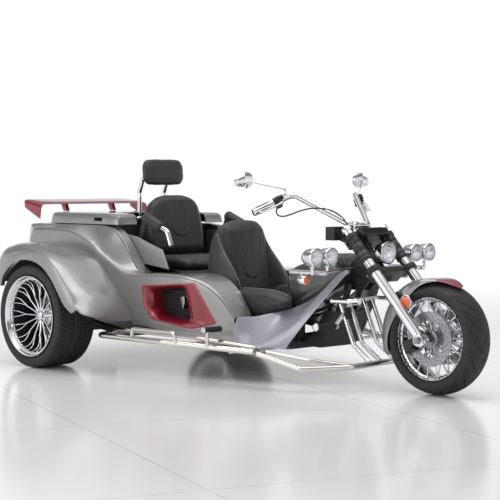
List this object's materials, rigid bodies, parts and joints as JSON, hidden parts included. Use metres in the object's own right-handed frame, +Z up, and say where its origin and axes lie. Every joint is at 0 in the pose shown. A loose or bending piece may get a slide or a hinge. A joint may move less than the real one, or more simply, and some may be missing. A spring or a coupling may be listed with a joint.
{
  "type": "motorized trike",
  "caption": "Motorized trike with one steered front wheel on a raked fork, wide rear wheels, two seats in line, side bars, lid and spoiler.",
  "frame": {"origin": "centre of the whole vehicle's length and width, on the ground", "axes": "+X forwards, +Y to the rider's left, +Z up"},
  "size_m": [3.507, 1.86, 1.3021],
  "materials": {
    "grey_metallic_paint": "gloss metallic",
    "red_paint": "gloss",
    "chrome_plate": "mirror",
    "polished_steel": "polished",
    "black_frame_paint": "satin powder coat",
    "engine_casting": "cast",
    "axle_steel": "satin",
    "disc_steel": "ground",
    "caliper_paint": "satin black",
    "black_plastic": "satin",
    "seat_leather": "satin grain",
    "hose_rubber": "matt",
    "tyre_rubber": "matt",
    "red_lens": "gloss"
  },
  "bodies": {
    "chassis": {"frame": "black_frame_paint", "steering_head": "black_frame_paint", "engine": "engine_casting", "rear_axle": "axle_steel", "rear_body": "grey_metallic_paint", "intake_frames": "red_paint", "seat_side_panels": "grey_metallic_paint", "nose_panels": "grey_metallic_paint", "tank_cover": "grey_metallic_paint", "belly_panel": "black_plastic", "driver_seat_back": "seat_leather", "driver_seat_cushion": "seat_leather", "passenger_seat_back": "seat_leather", "passenger_seat_cushion": "seat_leather", "headrest": "seat_leather", "headrest_bars": "chrome_plate", "armrests": "black_plastic", "grab_handles": "chrome_plate", "side_bars_right": "polished_steel", "side_bars_left": "polished_steel", "front_bars": "polished_steel", "down_tubes": "chrome_plate", "foot_controls": "chrome_plate", "spot_lamps": "chrome_plate", "lamp_brackets": "chrome_plate", "tail_lamps": "red_lens", "plate_holder": "black_plastic", "exhausts": "chrome_plate"},
    "lid": {"luggage_lid": "grey_metallic_paint", "spoiler": "red_paint"},
    "steering": {"fork_legs": "chrome_plate", "fork_covers": "grey_metallic_paint", "fork_clamps": "black_frame_paint", "front_axle": "axle_steel", "handlebar": "chrome_plate", "hand_controls": "black_plastic", "mirrors": "chrome_plate", "brake_hose": "hose_rubber", "instrument_box": "black_plastic", "headlight": "chrome_plate", "front_fender": "grey_metallic_paint", "front_calipers": "caliper_paint"},
    "front_wheel": {"front_tyre": "tyre_rubber", "front_rim": "chrome_plate", "front_discs": "disc_steel"},
    "rear_wheel_right": {"rear_tyre_right": "tyre_rubber", "rear_rim_right": "chrome_plate", "rear_disc_right": "disc_steel"},
    "rear_wheel_left": {"rear_tyre_left": "tyre_rubber", "rear_rim_left": "chrome_plate", "rear_disc_left": "disc_steel"}
  },
  "joints": [
    {"name": "steering_turn", "type": "hinge", "parent": "chassis", "child": "steering", "pos_m": [0.9786, 0, 0.70612], "axis": [-0.682, 0, 0.7314], "range_deg": [-32, 32]},
    {"name": "front_wheel_spin", "type": "hinge", "parent": "steering", "child": "front_wheel", "pos_m": [1.4465, 0, 0.307], "axis": [0, 1, 0], "continuous": true},
    {"name": "rear_wheel_right_spin", "type": "hinge", "parent": "chassis", "child": "rear_wheel_right", "pos_m": [-1.0535, -0.7815, 0.321], "axis": [0, 1, 0], "continuous": true},
    {"name": "rear_wheel_left_spin", "type": "hinge", "parent": "chassis", "child": "rear_wheel_left", "pos_m": [-1.0535, 0.7815, 0.321], "axis": [0, 1, 0], "continuous": true},
    {"name": "lid_hinge", "type": "hinge", "parent": "chassis", "child": "lid", "pos_m": [-1.6695, 0, 0.893], "axis": [0, -1, 0], "range_deg": [0, 55]}
  ]
}
